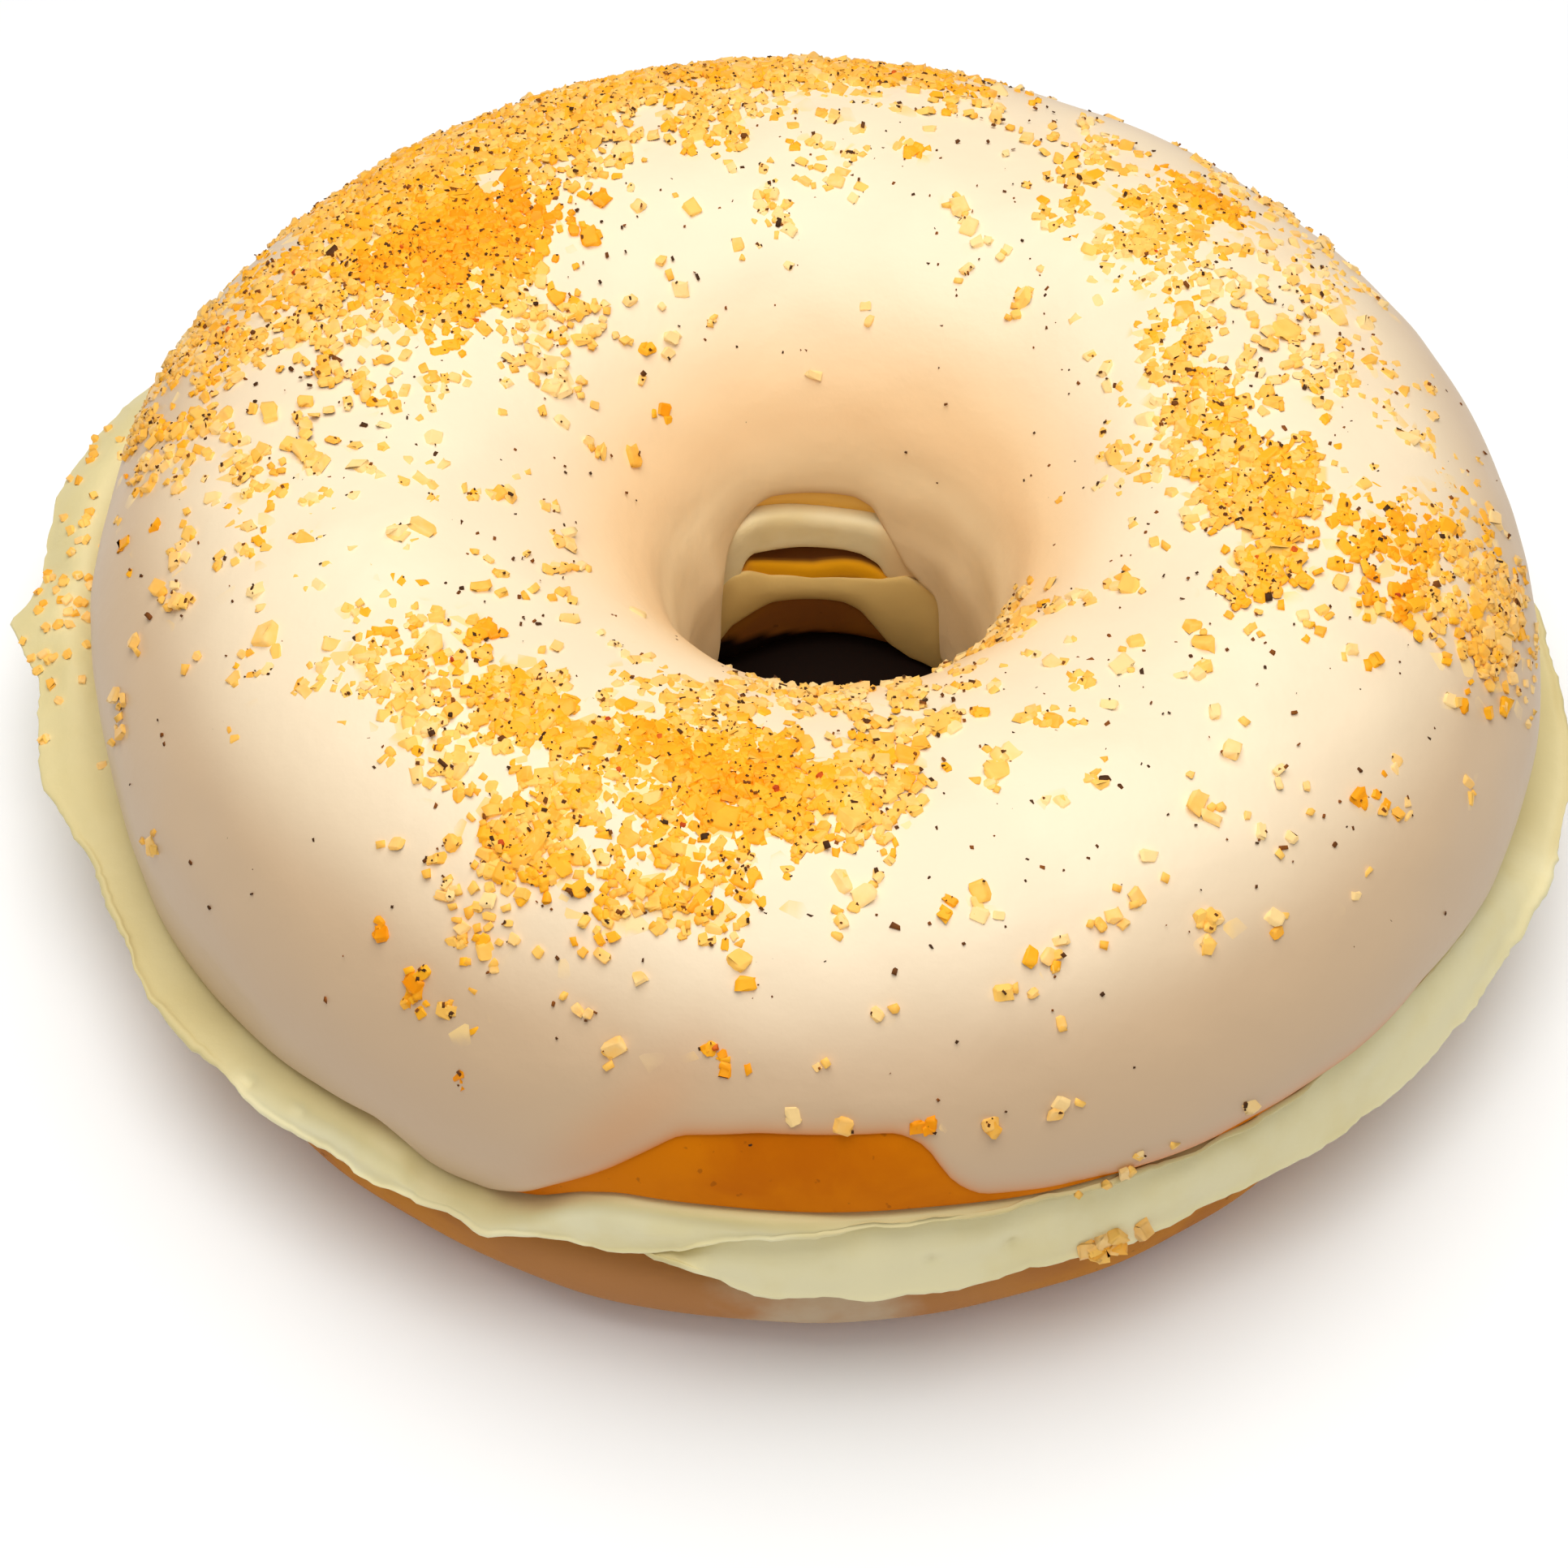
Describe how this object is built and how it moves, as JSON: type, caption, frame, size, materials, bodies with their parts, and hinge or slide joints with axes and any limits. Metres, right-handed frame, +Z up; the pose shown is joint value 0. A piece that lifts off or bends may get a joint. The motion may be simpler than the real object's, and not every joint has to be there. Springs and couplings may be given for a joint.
{
  "type": "filled ring doughnut",
  "caption": "Filled ring doughnut: split fried dough ring with cream between the halves, ivory icing on top and scattered brown sugar crystals.",
  "frame": {"origin": "on the resting surface, under the centre of the doughnut's box", "axes": "+Z up through the hole; -Y is the shown front, where a bare patch of dough shows under the icing; +X to the right of it"},
  "size_m": [0.1004, 0.0971, 0.0308],
  "materials": {
    "icing": "set sugar icing, satin, slightly translucent, with amber sugar crystals standing on it",
    "top_dough": "fried dough, golden brown crust",
    "cream": "soft custard cream, pale yellow, moist and faintly glossy",
    "bottom_dough": "fried dough, golden brown, with a thin pale smear of glaze"
  },
  "bodies": {
    "root": {"icing": "icing", "top_bun": "top_dough", "cream_filling": "cream", "bottom_bun": "bottom_dough"}
  },
  "joints": []
}
